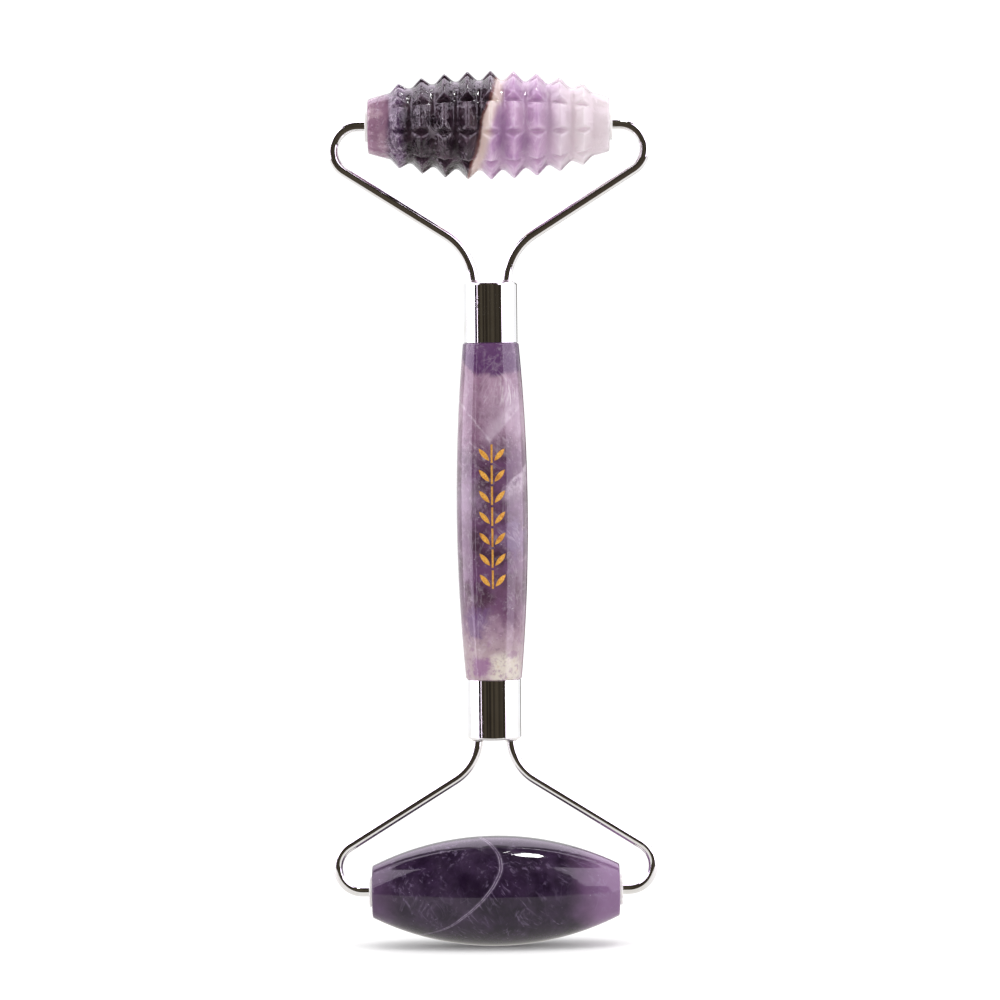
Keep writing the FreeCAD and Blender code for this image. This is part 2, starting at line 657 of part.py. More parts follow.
def textured_roller():
    """The ringed barrel, cut into teeth by flutes that follow its belly."""
    body = new_body("textured_roller")
    section = new_sketch(body, "section", "XZ_Plane")
    textured_section(section)
    barrel = revolve(body, section, "H_Axis")
    end_radius = arc_height(sizes.RootCrown, sizes.RootArc, sizes.TexturedHalf)
    ridges = []
    for ring in RINGS:
        along = sizes.RingShift + ring * sizes.RingPitch
        ridge = arc_height(sizes.TipCrown, sizes.TipArc, along)
        ridges += circle_edges(barrel, lambda centre: abs(centre.x - along) < 1e-4, ridge)
    soften(body, "Fillet", ridges, "RidgeRound")
    rims = circle_edges(body.Tip, lambda centre: abs(centre.x) > sizes.TexturedHalf - 1e-4, end_radius)
    soften(body, "Fillet", rims, "TexturedEndRound")
    whole = body.Tip.Shape.Volume
    flute = body.newObject("PartDesign::Groove", "flute")
    flute.Profile = flute_cutter(body)
    flute.ReferenceAxis = (flute.Profile[0], ["Axis0"])
    flute.Midplane = True
    flute.setExpression("Angle", "Sizes.FluteSweep")
    doc.recompute()
    flutes = body.newObject("PartDesign::PolarPattern", "flutes")
    flutes.Originals = [flute]
    flutes.Axis = (origin_part(body, "X_Axis"), [""])
    flutes.Angle = 360.0
    flutes.setExpression("Occurrences", "Sizes.FluteCount")
    body.Tip = flutes
    doc.recompute()
    if not body.Shape.Volume < flute.Shape.Volume < whole:
        raise SystemExit("the flutes cut nothing from the textured roller")
    body.Placement = Placement(Vector(), Rotation(Vector(1, 0, 0), sizes.TexturedPhase))
    body.setExpression("Placement.Rotation.Angle", "Sizes.TexturedPhase")
    body.setExpression("Placement.Base.z", "Sizes.TopAxleHeight")
    return body


def flanged_bush(roller, side, half, height):
    """A flanged plastic bush in one end of a roller, bored to run on the wire pin."""
    body = new_body(f"{roller}_{side}_bush")
    sketch = new_sketch(body, "section", "XZ_Plane")
    draw_outline(sketch, [
        (f"{half} - BushLength", "BushBore"),
        (f"{half} + FlangeThickness", "BushBore"),
        (f"{half} + FlangeThickness", "FlangeRadius"),
        (half, "FlangeRadius"),
        (half, "BushRadius"),
        (f"{half} - BushLength", "BushRadius"),
    ])
    bush = revolve(body, sketch, "H_Axis")
    face = total_of(f"{half} + FlangeThickness")
    rim = circle_edges(bush, lambda centre: abs(centre.x - face) < 1e-4, sizes.FlangeRadius)
    soften(body, "Fillet", rim, "FlangeRound")
    turn = Rotation(Vector(0, 0, 1), 180 if side == "left" else 0)
    body.Placement = Placement(Vector(), turn)
    body.setExpression("Placement.Base.z", height)
    return body


kept += [textured_roller(), smooth_roller()]
for roller, half, height in (("textured", "TexturedHalf", "Sizes.TopAxleHeight"),
                             ("smooth", "SmoothHalf", "-Sizes.BottomAxleHeight")):
    for side in ("left", "right"):
        kept.append(flanged_bush(roller, side, half, height))

# ---- check and write --------------------------------------------------------------------------

doc.recompute()
failed = [item.Label for item in doc.Objects if {"Invalid", "Error"} & set(item.State)]
for item in kept:
    if item.Shape.isNull() or not item.Shape.isValid() or not item.Shape.Solids:
        failed.append(item.Label)
if failed:
    raise SystemExit("these objects failed: " + ", ".join(failed))

os.makedirs("parts", exist_ok=True)
for item in kept:
    item.Shape.exportStep(f"parts/{item.Label}.step")
    print(f"{item.Label}: {len(item.Shape.Solids)} solid(s), {item.Shape.Volume:.2f} mm3")
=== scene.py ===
import math

import bpy
from mathutils import Matrix, Vector


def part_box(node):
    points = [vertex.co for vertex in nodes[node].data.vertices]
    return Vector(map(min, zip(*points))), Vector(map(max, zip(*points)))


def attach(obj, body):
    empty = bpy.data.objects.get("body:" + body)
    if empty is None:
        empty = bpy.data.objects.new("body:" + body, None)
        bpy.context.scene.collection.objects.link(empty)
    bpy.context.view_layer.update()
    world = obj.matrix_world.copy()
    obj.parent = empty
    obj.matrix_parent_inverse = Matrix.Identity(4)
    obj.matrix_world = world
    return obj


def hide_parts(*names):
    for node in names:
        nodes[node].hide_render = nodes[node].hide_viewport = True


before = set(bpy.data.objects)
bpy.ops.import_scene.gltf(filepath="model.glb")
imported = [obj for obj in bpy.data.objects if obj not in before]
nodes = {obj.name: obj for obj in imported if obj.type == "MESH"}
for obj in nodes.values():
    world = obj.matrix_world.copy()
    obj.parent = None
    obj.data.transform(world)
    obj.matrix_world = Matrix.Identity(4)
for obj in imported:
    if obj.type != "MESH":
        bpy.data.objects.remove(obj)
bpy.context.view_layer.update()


# ---- the handle --------------------------------------------------------------------------------
# One rod of amethyst, turned to a slim barrel, tumbled and polished. It is cloudy quartz: mauve
# with drifting white veils, a plum-coloured crystal zone at the top and a milky knot low down.

MM = 0.001


def add(tree, kind, values=None, **settings):
    """Place one node; a socket is given a plain value or the output that feeds it."""
    made = tree.nodes.new("ShaderNode" + kind)
    for name, value in settings.items():
        setattr(made, name, value)
    for socket, value in (values or {}).items():
        if isinstance(value, bpy.types.NodeSocket):
            tree.links.new(value, made.inputs[socket])
        else:
            made.inputs[socket].default_value = value
    return made


def sum_up(tree, operation, first, second=0.0, third=0.0, clamp=False):
    """One Math node."""
    return add(tree, "Math", {0: first, 1: second, 2: third}, operation=operation,
               use_clamp=clamp).outputs[0]


def mask(tree, value, low, high):
    """0 below low, 1 above high and a smooth change between; swap them to turn the mask round."""
    return add(tree, "MapRange", {"Value": value, "From Min": low, "From Max": high},
               interpolation_type="SMOOTHSTEP").outputs[0]


def tint(tree, share, under, over):
    """Lay one colour over another by a mask."""
    return add(tree, "Mix", {0: share, 6: under, 7: over}, data_type="RGBA").outputs[2]


def both(tree, first, second):
    """Where two masks overlap, or a mask at a share of its strength."""
    return sum_up(tree, "MULTIPLY", first, second)


def lay(tree, colour, where, share, paint):
    """Lay a paint over a colour by a mask at a share of its strength."""
    return tint(tree, both(tree, where, share), colour, paint)


def gap(tree, place, across, depth, up):
    """Distance to a point given in millimetres."""
    return add(tree, "VectorMath", {0: place, 1: (across * MM, depth * MM, up * MM)},
               operation="DISTANCE").outputs["Value"]


def near(tree, place, across, depth, up, outer, inner):
    """1 within the inner radius of a point, 0 past the outer one, all in millimetres."""
    return mask(tree, gap(tree, place, across, depth, up), outer * MM, inner * MM)


def cloud(tree, place, size, detail=5.0, roughness=0.6, warp=0.0):
    """Fractal noise from 0 to 1 whose lumps are about the given size in metres."""
    made = add(tree, "TexNoise", {"Vector": place, "Scale": 1.0 / size, "Detail": detail,
                                  "Roughness": roughness, "Distortion": warp})
    return made.outputs["Fac"]


def shifted(tree, place, offset=(0, 0, 0), turn=(0, 0, 0), stretch=(1, 1, 1)):
    """The same place, moved, turned and stretched before a pattern reads it."""
    return add(tree, "Mapping", {"Vector": place, "Location": offset, "Rotation": turn,
                                 "Scale": stretch}).outputs[0]


def along_grain(tree, place, turn, stretch, offset=(0, 0, 0)):
    """The same place drawn out by the stretch along axes that are turned first."""
    return add(tree, "Mapping", {"Vector": place, "Location": offset, "Rotation": turn,
                                 "Scale": stretch}, vector_type="TEXTURE").outputs[0]


def new_group(name, inputs, outputs):
    """An empty node group with its sockets; returns the tree and its two end nodes."""
    tree = bpy.data.node_groups.new(name, "ShaderNodeTree")
    for label, kind, value in inputs:
        socket = tree.interface.new_socket(label, in_out="INPUT", socket_type=kind)
        if value is not None:
            socket.default_value = value
    for label, kind in outputs:
        tree.interface.new_socket(label, in_out="OUTPUT", socket_type=kind)
    return tree, tree.nodes.new("NodeGroupInput"), tree.nodes.new("NodeGroupOutput")


def crystal_growth():
    """What quartz grows: soft veils, thin wisps, silvery healed cracks and tiny specks."""
    speck_spacing = 1.1 * MM
    tuft_width = 0.7 * MM
    patch_size = 6.0 * MM
    tree, given, result = new_group(
        "crystal_growth",
        [("Place", "NodeSocketVector", None), ("Veil Size", "NodeSocketFloat", 0.006),
         ("Wisp Size", "NodeSocketFloat", 0.003)],
        [("Veil", "NodeSocketFloat"), ("Wisp", "NodeSocketFloat"), ("Feather", "NodeSocketFloat"),
         ("Speck", "NodeSocketFloat")])
    place = given.outputs["Place"]

    def swirls(offset, turn, stretch, size, detail, roughness, warp):
        """Noise whose lumps follow the size given to the group."""
        return add(tree, "TexNoise", {
            "Vector": shifted(tree, place, offset, turn, stretch),
            "Scale": sum_up(tree, "DIVIDE", 1.0, given.outputs[size]),
            "Detail": detail, "Roughness": roughness, "Distortion": warp}).outputs["Fac"]

    veil = swirls((0.013, 0.004, 0), (0, 0.5, 0.3), (1, 1, 0.6), "Veil Size", 7.0, 0.62, 0.9)
    tree.links.new(mask(tree, veil, 0.36, 0.66), result.inputs["Veil"])

    swirl = swirls((0.002, 0.01, 0.007), (0.3, -0.7, 0), (1, 1, 0.45), "Wisp Size", 4.0, 0.55, 1.6)
    ridge = sum_up(tree, "ABSOLUTE", sum_up(tree, "SUBTRACT", swirl, 0.5))
    thin = mask(tree, ridge, 0.035, 0.0)
    patchy = mask(tree, cloud(tree, shifted(tree, place, (0.05, 0, 0)), patch_size, 3.0), 0.45, 0.7)
    tree.links.new(both(tree, thin, patchy), result.inputs["Wisp"])

    feathers = None
    for turn, offset in ((-0.62, 0.01), (-0.95, 0.03), (0.35, 0.05)):
        fibre = cloud(tree, along_grain(tree, place, (0.2, turn, 0), (1, 1, 6), (offset, 0, 0)),
                      tuft_width, 3.0, 0.6, 0.5)
        where = mask(tree, cloud(tree, shifted(tree, place, (offset, 0.01, 0)), patch_size, 3.0),
                     0.50, 0.66)
        tuft = both(tree, mask(tree, fibre, 0.52, 0.74), where)
        feathers = tuft if feathers is None else sum_up(tree, "MAXIMUM", feathers, tuft)
    tree.links.new(feathers, result.inputs["Feather"])

    grains = add(tree, "TexVoronoi", {"Vector": place, "Scale": 1.0 / speck_spacing, "Randomness": 1.0})
    dots = mask(tree, grains.outputs["Distance"], 0.13, 0.04)
    few = mask(tree, cloud(tree, place, 4.0 * MM, 2.0), 0.5, 0.62)
    tree.links.new(both(tree, dots, few), result.inputs["Speck"])
    return tree


CRYSTAL_GROWTH = crystal_growth()


def use_group(tree, group, values):
    """Place a node group; an input is given a plain value or the output that feeds it."""
    made = tree.nodes.new("ShaderNodeGroup")
    made.node_tree = group
    for socket, value in values.items():
        if isinstance(value, bpy.types.NodeSocket):
            tree.links.new(value, made.inputs[socket])
        else:
            made.inputs[socket].default_value = value
    return made


def hand_wear():
    """Marks of handling on any polished surface: hairline scratches and faint smears."""
    smear_size = 9.0 * MM
    scratch_spacing = 0.9 * MM
    scratch_patch = 5.0 * MM
    ripple_size = 3.5 * MM
    tree, given, result = new_group(
        "hand_wear",
        [("Place", "NodeSocketVector", None), ("Polish", "NodeSocketFloat", 0.05),
         ("Smear", "NodeSocketFloat", 0.05), ("Scratch", "NodeSocketFloat", 0.05)],
        [("Roughness", "NodeSocketFloat"), ("Height", "NodeSocketFloat")])
    place = given.outputs["Place"]
    smear = mask(tree, cloud(tree, place, smear_size, 4.0, 0.6, 0.8), 0.45, 0.75)
    hairlines = None
    for turn in (0.4, -0.9, 1.7):
        drawn = along_grain(tree, place, (turn, turn * 0.6, 0), (1, 1, 30), (turn * 0.01, 0, 0))
        lined = cloud(tree, drawn, scratch_spacing, 1.0)
        line = mask(tree, sum_up(tree, "ABSOLUTE", sum_up(tree, "SUBTRACT", lined, 0.5)), 0.012, 0.0)
        hairlines = line if hairlines is None else sum_up(tree, "MAXIMUM", hairlines, line)
    hairlines = both(tree, hairlines, mask(tree, cloud(tree, place, scratch_patch, 2.0), 0.5, 0.65))
    rough = sum_up(tree, "MULTIPLY_ADD", smear, given.outputs["Smear"], given.outputs["Polish"])
    rough = sum_up(tree, "MULTIPLY_ADD", hairlines, given.outputs["Scratch"], rough, clamp=True)
    tree.links.new(rough, result.inputs["Roughness"])
    ripple = cloud(tree, place, ripple_size, 2.0, 0.5)
    height = sum_up(tree, "SUBTRACT", ripple, both(tree, hairlines, 0.15))
    tree.links.new(height, result.inputs["Height"])
    return tree


HAND_WEAR = hand_wear()


def new_material(name):
    """A material with its Principled shader; returns both and the Object coordinates."""
    made = bpy.data.materials.new(name)
    made.use_nodes = True
    tree = made.node_tree
    shader = tree.nodes["Principled BSDF"]
    place = add(tree, "TexCoord").outputs["Object"]
    return made, tree, shader, place


def polish(tree, shader, place, gloss, smear, scratch, ripple, chips=None):
    """Worn polish on a material: varying roughness, a slight ripple and, where given, small chips."""
    wear = use_group(tree, HAND_WEAR, {"Place": place, "Polish": gloss, "Smear": smear,
                                       "Scratch": scratch})
    tree.links.new(wear.outputs["Roughness"], shader.inputs["Roughness"])
    height = wear.outputs["Height"]
    if chips is not None:
        height = sum_up(tree, "SUBTRACT", height, chips)
    bump = add(tree, "Bump", {"Height": height, "Strength": 1.0, "Distance": ripple})
    tree.links.new(bump.outputs[0], shader.inputs["Normal"])


def quartz_body(shader):
    """Polished quartz: a clear surface with light scattered inside it."""
    shader.inputs["IOR"].default_value = 1.54
    shader.inputs["Subsurface Weight"].default_value = 0.35
    shader.inputs["Subsurface Radius"].default_value = (1.0, 0.7, 1.1)
    shader.inputs["Subsurface Scale"].default_value = 1.5 * MM


def axes_of(tree, place):
    """The three numbers of a place, or of a colour."""
    split = add(tree, "SeparateXYZ", {0: place})
    return split.outputs[0], split.outputs[1], split.outputs[2]


def rgb(red, green, blue):
    """A colour as a painter reads it, 0 to 255, made linear."""
    return tuple(((c / 255 + 0.055) / 1.055) ** 2.4 if c > 10 else c / 255 / 12.92
                 for c in (red, green, blue)) + (1.0,)


def handle_amethyst():
    """The rod's stone. Every place in it is in millimetres from the middle of the handle."""
    heart_middle, heart_reach, heart_full = -3.0, 18, 10
    heart_half_width, heart_edge = 2.6, 4.6
    plum_floor, plum_corner, plum_slope = 22.3, -2.2, -0.93
    foot_top, foot_full = -17, -24
    knot_place, knot_reach, knot_full = (2.2, -4.5, -25.9), 4.2, 1.6
    comb_place, comb_reach, comb_full = (2.0, -4.4, 19.4), 3.2, 1.2
    crack_offset, crack_half_width = 6.6, 0.28
    front = -4.6
    made, tree, shader, place = new_material("handle_amethyst")
    along_x, _, height = axes_of(tree, place)
    growth = use_group(tree, CRYSTAL_GROWTH, {"Place": place, "Veil Size": 7.5 * MM,
                                              "Wisp Size": 5.0 * MM})
    drift = cloud(tree, place, 5.0 * MM, 4.0, 0.6, 0.5)
    wander = both(tree, sum_up(tree, "SUBTRACT", drift, 0.5), 5.0 * MM)
    mottle = cloud(tree, place, 1.4 * MM, 6.0, 0.7)

    colour = tint(tree, mask(tree, cloud(tree, place, 6.0 * MM, 5.0), 0.35, 0.65),
                  rgb(108, 74, 98), rgb(142, 108, 132))
    colour = lay(tree, colour, growth.outputs["Veil"], 0.7, rgb(176, 150, 168))

    # darker heart of the rod round the sprig
    middle = sum_up(tree, "ADD", sum_up(tree, "ADD", height, -heart_middle * MM), wander)
    middle = sum_up(tree, "ABSOLUTE", middle)
    core = mask(tree, sum_up(tree, "ABSOLUTE", along_x), heart_edge * MM, heart_half_width * MM)
    core = sum_up(tree, "MULTIPLY_ADD", core, 0.30, 0.62)
    heart = both(tree, mask(tree, middle, heart_reach * MM, heart_full * MM), core)
    heart_drift = cloud(tree, shifted(tree, place, (0, 0, 0.02)), 5.0 * MM, 4.0)
    heart_tone = tint(tree, mask(tree, heart_drift, 0.4, 0.62), rgb(54, 27, 47), rgb(92, 58, 92))
    colour = tint(tree, heart, colour, heart_tone)

    # plum zone at the top, cut off by a slanting crystal face on its left
    slope = sum_up(tree, "MULTIPLY", sum_up(tree, "ADD", along_x, -plum_corner * MM), plum_slope)
    slope = sum_up(tree, "MAXIMUM", slope, 0.0)
    floor_height = sum_up(tree, "ADD", slope, plum_floor * MM)
    over = sum_up(tree, "SUBTRACT", sum_up(tree, "MULTIPLY_ADD", wander, 0.8, height), floor_height)
    colour = lay(tree, colour, mask(tree, over, -0.3 * MM, 0.9 * MM), 0.85, rgb(76, 40, 88))

    # pale, cloudy foot, with a milky knot in it on the right
    foot = mask(tree, sum_up(tree, "ADD", height, wander), foot_top * MM, foot_full * MM)
    colour = lay(tree, colour, foot, 0.6, rgb(184, 166, 166))
    knot_edge = sum_up(tree, "ADD", gap(tree, place, *knot_place), both(tree, wander, 1.3))
    knot = mask(tree, knot_edge, knot_reach * MM, knot_full * MM)
    colour = lay(tree, colour, knot, 0.9, rgb(208, 200, 188))
    spots = mask(tree, cloud(tree, place, 1.6 * MM, 3.0), 0.54, 0.66)
    colour = lay(tree, colour, both(tree, spots, foot), 0.55, rgb(138, 96, 134))

    colour = lay(tree, colour, mask(tree, mottle, 0.5, 0.75), 0.28, rgb(208, 192, 204))
    colour = lay(tree, colour, mask(tree, mottle, 0.46, 0.28), 0.42, rgb(92, 62, 88))
    # clouds grown at their own places: across, up, size, share, colour
    for across, up, size, share, paint in (
            (3.0, 16.5, 5.0, 0.40, rgb(190, 170, 186)), (-4.6, 8.6, 2.6, 0.55, rgb(96, 78, 92)),
            (-4.6, 2.4, 3.4, 0.36, rgb(184, 162, 186)), (4.6, 1.0, 3.2, 0.28, rgb(170, 148, 172)),
            (4.0, -4.6, 3.0, 0.40, rgb(132, 116, 148)), (3.2, -13.0, 4.0, 0.45, rgb(112, 82, 104)),
            (-3.0, -18.4, 2.8, 0.60, rgb(104, 78, 122)), (-2.0, -25.8, 1.9, 0.75, rgb(142, 100, 140)),
            (3.4, -26.4, 0.9, 0.70, rgb(150, 114, 142))):
        away = gap(tree, place, across, front, up)
        ragged = sum_up(tree, "SUBTRACT", mottle, 0.5)
        reach = sum_up(tree, "MULTIPLY_ADD", ragged, size * 3.0 * MM, away)
        reach = sum_up(tree, "MULTIPLY_ADD", wander, 0.9, reach)
        blot = mask(tree, reach, size * 1.3 * MM, size * 0.3 * MM)
        colour = lay(tree, colour, blot, share, paint)

    # flat veils with one sharp side: across, up, which side is milky, how far it fades, share
    lean, rise = 0.77, 0.64
    for across, up, milky_side, fade, share in ((2.1, 3.9, -1.0, 4.5, 0.50), (0.5, 12.0, 1.0, 3.0, 0.42)):
        level = sum_up(tree, "MULTIPLY_ADD", along_x, -lean, both(tree, height, rise))
        level = sum_up(tree, "ADD", level, (lean * across - rise * up) * MM)
        level = sum_up(tree, "MULTIPLY_ADD", level, milky_side, both(tree, wander, 0.5))
        sheet = both(tree, mask(tree, level, -0.1 * MM, 0.4 * MM), mask(tree, level, fade * MM, 0.4 * MM))
        sheet = both(tree, sheet, near(tree, place, across + 1.9, -4.4, up + 2.0, 5.5, 2.5))
        sheet = both(tree, sheet, mask(tree, mottle, 0.25, 0.60))
        colour = lay(tree, colour, sheet, share, rgb(214, 198, 212))

    # a comb of white needles hanging under the plum zone
    needles = cloud(tree, along_grain(tree, place, (0, 0.10, 0), (1, 1, 9)), 0.40 * MM, 3.0, 0.6)
    comb = sum_up(tree, "MULTIPLY_ADD", wander, 0.6, gap(tree, place, *comb_place))
    comb = mask(tree, comb, comb_reach * MM, comb_full * MM)
    comb = both(tree, comb, mask(tree, needles, 0.44, 0.66))
    colour = lay(tree, colour, comb, 0.5, rgb(224, 214, 220))

    # a flat healed crack on the left, and brown stain in the knot
    side = sum_up(tree, "MULTIPLY_ADD", along_x, 0.80, both(tree, height, 0.59))
    side = sum_up(tree, "SUBTRACT", sum_up(tree, "MULTIPLY_ADD", wander, 0.3, side), crack_offset * MM)
    plane = mask(tree, sum_up(tree, "ABSOLUTE", side), crack_half_width * MM, 0.02 * MM)
    plane = both(tree, plane, mask(tree, mottle, 0.30, 0.65))
    plane = both(tree, plane, mask(tree, along_x, 2.0 * MM, -1.0 * MM))
    colour = lay(tree, colour, plane, 0.28, rgb(222, 210, 220))
    stain = both(tree, mask(tree, cloud(tree, place, 1.2 * MM, 3.0), 0.55, 0.7), knot)
    colour = lay(tree, colour, stain, 0.4, rgb(176, 148, 120))
    for growing, share, paint in (("Wisp", 0.10, rgb(224, 212, 222)), ("Feather", 0.28, rgb(222, 210, 220)),
                                  ("Speck", 0.4, rgb(226, 216, 226))):
        colour = lay(tree, colour, growth.outputs[growing], share, paint)
    tree.links.new(colour, shader.inputs["Base Color"])
    quartz_body(shader)
    polish(tree, shader, place, 0.05, 0.06, 0.12, 0.02 * MM)
    return made


def give_finish(node, finish):
    """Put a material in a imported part's slots and leave its mesh as it is."""
    for slot in nodes[node].material_slots:
        slot.material = finish


give_finish("handle", handle_amethyst())


# ---- the gold fill -----------------------------------------------------------------------------
# Bronze-gold paint wiped into the engraved sprig on the handle's front and left just below the
# stone's surface. Its skin is slightly grainy, and thin where the graver left ridges.

def gold_fill():
    made, tree, shader, place = new_material("gold_fill")
    flakes = cloud(tree, place, 0.25 * MM, 3.0, 0.7)
    thin = mask(tree, cloud(tree, place, 1.3 * MM, 4.0), 0.52, 0.72)
    colour = tint(tree, mask(tree, flakes, 0.3, 0.7), rgb(214, 138, 42), rgb(250, 196, 92))
    colour = lay(tree, colour, thin, 0.75, rgb(184, 96, 26))
    tree.links.new(colour, shader.inputs["Base Color"])
    shader.inputs["Metallic"].default_value = 0.25
    rough = sum_up(tree, "MULTIPLY_ADD", flakes, 0.25, 0.22)
    tree.links.new(rough, shader.inputs["Roughness"])
    bump = add(tree, "Bump", {"Height": flakes, "Strength": 1.0, "Distance": 0.05 * MM})
    tree.links.new(bump.outputs[0], shader.inputs["Normal"])
    return made


give_finish("ornament_inlay", gold_fill())


# ---- the ferrules ------------------------------------------------------------------------------
# Two turned brass caps under bright chrome plate, glued over the handle's spigots. The plate is
# a near-perfect mirror with hairlines from wiping and a faint swell left by the polishing wheel.

def bright_chrome(name, gloss, ripple):
    """Chrome plate; gloss is its roughness and ripple the height of its swell."""
    made, tree, shader, place = new_material(name)
    haze = mask(tree, cloud(tree, place, 4.0 * MM, 3.0), 0.4, 0.8)
    colour = tint(tree, haze, rgb(240, 240, 242), rgb(228, 226, 224))
    tree.links.new(colour, shader.inputs["Base Color"])
    shader.inputs["Metallic"].default_value = 1.0
    polish(tree, shader, place, gloss, 0.025, 0.10, ripple)
    return made


CHROME = bright_chrome("bright_chrome", 0.03, 0.006 * MM)
for end in ("top", "bottom"):
    give_finish(f"{end}_ferrule", CHROME)


# ---- the adhesive in the ferrules --------------------------------------------------------------
# Clear epoxy, a tenth of a millimetre thick, between each spigot and its socket. It has yellowed
# a little and holds fine bubbles.

def clear_epoxy():
    bubble_spacing = 0.6 * MM
    made, tree, shader, place = new_material("clear_epoxy")
    cells = add(tree, "TexVoronoi", {"Vector": place, "Scale": 1.0 / bubble_spacing})
    bubbles = mask(tree, cells.outputs["Distance"], 0.2, 0.1)
    colour = tint(tree, bubbles, rgb(214, 204, 176), rgb(240, 236, 222))
    tree.links.new(colour, shader.inputs["Base Color"])
    tree.links.new(sum_up(tree, "MULTIPLY_ADD", bubbles, 0.2, 0.15), shader.inputs["Roughness"])
    return made


EPOXY = clear_epoxy()
for end in ("top", "bottom"):
    give_finish(f"{end}_ferrule_adhesive", EPOXY)


# ---- the wire arms -----------------------------------------------------------------------------
# Four lengths of 1.65 mm drawn steel wire, bent cold and chrome plated. The plate has the same hairlines as
# the ferrules, and the bending tool leaves it a little rougher than them.

WIRE_CHROME = bright_chrome("wire_chrome", 0.045, 0.01 * MM)
for end in ("top", "bottom"):
    for side in ("left", "right"):
        give_finish(f"{end}_{side}_arm", WIRE_CHROME)


# ---- the braze collars -------------------------------------------------------------------------
# Silver braze that crept round each wire where it enters the ferrule. It was plated with the
# rest, so it is bright, but its surface is pitted and a little browned by the flame.

def plated_braze():
    made, tree, shader, place = new_material("plated_braze")
    pits = cloud(tree, place, 0.3 * MM, 4.0, 0.65)
    colour = tint(tree, mask(tree, pits, 0.5, 0.7), rgb(226, 224, 222), rgb(150, 138, 126))
    tree.links.new(colour, shader.inputs["Base Color"])
    shader.inputs["Metallic"].default_value = 1.0
    tree.links.new(sum_up(tree, "MULTIPLY_ADD", pits, 0.3, 0.08), shader.inputs["Roughness"])
    bump = add(tree, "Bump", {"Height": pits, "Strength": 1.0, "Distance": 0.06 * MM})
    tree.links.new(bump.outputs[0], shader.inputs["Normal"])
    return made


BRAZE = plated_braze()
for end in ("top", "bottom"):
    for side in ("left", "right"):
        give_finish(f"{end}_{side}_braze", BRAZE)


# ---- the textured roller -----------------------------------------------------------------------
# Amethyst cut across a growth boundary: almost black to the left, a slanting milky seam with a
# rusty edge, and pale lilac that clears to pinkish white at the right end.

